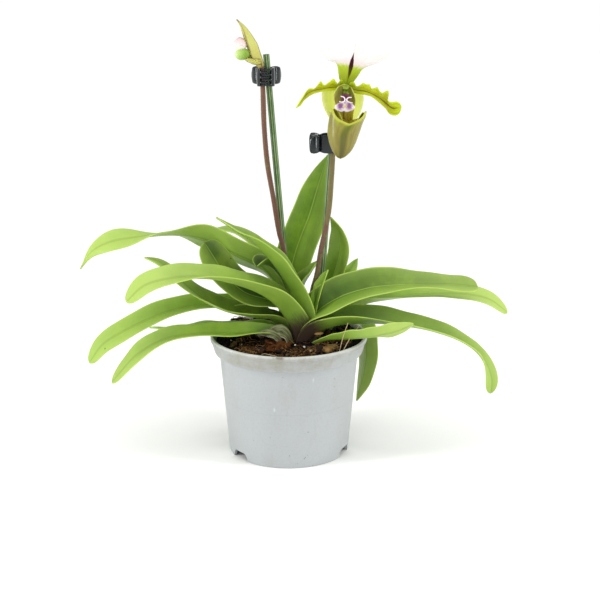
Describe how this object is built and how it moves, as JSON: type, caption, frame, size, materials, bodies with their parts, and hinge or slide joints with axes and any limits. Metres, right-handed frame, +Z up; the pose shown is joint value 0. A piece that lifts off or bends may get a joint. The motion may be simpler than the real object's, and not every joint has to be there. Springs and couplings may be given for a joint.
{
  "type": "potted slipper orchid",
  "caption": "Slipper orchid in a round nursery pot: arching strap leaves, a flower spike and a bud spike, each held to a green support stick by a small black claw clip.",
  "frame": {"origin": "centre of the pot's foot, on the surface that the pot stands on", "axes": "+Z up the plant; -Y is the side that the flower faces; +X to the right seen from that side"},
  "size_m": [0.3248, 0.1282, 0.3307],
  "materials": {
    "pot_plastic": "moulded polypropylene, semi-matte, slightly soiled",
    "potting_mix": "bark chips, coir fibre and peat, damp and matte",
    "rootstock": "rhizome under dry sheaths, matte",
    "leaf_tissue": "waxy leaf skin, satin",
    "stem_tissue": "hairy purple-brown skin, matte",
    "ovary_tissue": "hairy green-brown skin, matte",
    "bract_tissue": "thin papery skin, satin",
    "sepal_white": "white petal skin, satin",
    "sepal_green": "pale green petal skin, satin",
    "petal_tissue": "yellow-green petal skin, satin",
    "pouch_tissue": "waxy olive-brown skin, glossy",
    "column_tissue": "white and mauve skin, satin",
    "stick_plastic": "ribbed green plastic, satin",
    "clip_plastic": "black plastic, glossy",
    "spring_steel": "bright spring wire"
  },
  "bodies": {
    "root": {"bud_bract": "bract_tissue", "bud_clip_fixed_jaw": "clip_plastic", "bud_clip_pin": "spring_steel", "bud_clip_spring": "spring_steel", "bud_dorsal_sepal": "sepal_white", "bud_ovary": "ovary_tissue", "bud_stem": "stem_tissue", "bud_stick": "stick_plastic", "bud_synsepal": "sepal_green", "column": "column_tissue", "dorsal_sepal": "sepal_white", "flower_bract": "bract_tissue", "flower_clip_fixed_jaw": "clip_plastic", "flower_clip_pin": "spring_steel", "flower_clip_spring": "spring_steel", "flower_stem": "stem_tissue", "flower_stick": "stick_plastic", "leaf_01": "leaf_tissue", "leaf_02": "leaf_tissue", "leaf_03": "leaf_tissue", "leaf_04": "leaf_tissue", "leaf_05": "leaf_tissue", "leaf_06": "leaf_tissue", "leaf_07": "leaf_tissue", "leaf_08": "leaf_tissue", "leaf_09": "leaf_tissue", "leaf_10": "leaf_tissue", "leaf_11": "leaf_tissue", "leaf_12": "leaf_tissue", "leaf_13": "leaf_tissue", "leaf_14": "leaf_tissue", "leaf_15": "leaf_tissue", "leaf_16": "leaf_tissue", "leaf_17": "leaf_tissue", "leaf_18": "leaf_tissue", "leaf_19": "leaf_tissue", "leaf_20": "leaf_tissue", "ovary": "ovary_tissue", "petal_left": "petal_tissue", "petal_right": "petal_tissue", "pot": "pot_plastic", "potting_mix": "potting_mix", "pouch": "pouch_tissue", "rootstock": "rootstock", "synsepal": "sepal_green"},
    "bud_clip_jaw": {"bud_clip_moving_jaw": "clip_plastic"},
    "flower_clip_jaw": {"flower_clip_moving_jaw": "clip_plastic"}
  },
  "joints": [
    {"name": "bud_clip_hinge", "type": "hinge", "parent": "root", "child": "bud_clip_jaw", "pos_m": [-0.0168, 0.0278, 0.288], "axis": [0, 0, -1], "range_deg": [0, 35], "stiffness_Nm_per_rad": 0.008, "springref_deg": -34.38},
    {"name": "flower_clip_hinge", "type": "hinge", "parent": "root", "child": "flower_clip_jaw", "pos_m": [0.0219, -0.0068, 0.242], "axis": [0, 0, -1], "range_deg": [0, 35], "stiffness_Nm_per_rad": 0.008, "springref_deg": -34.38}
  ]
}
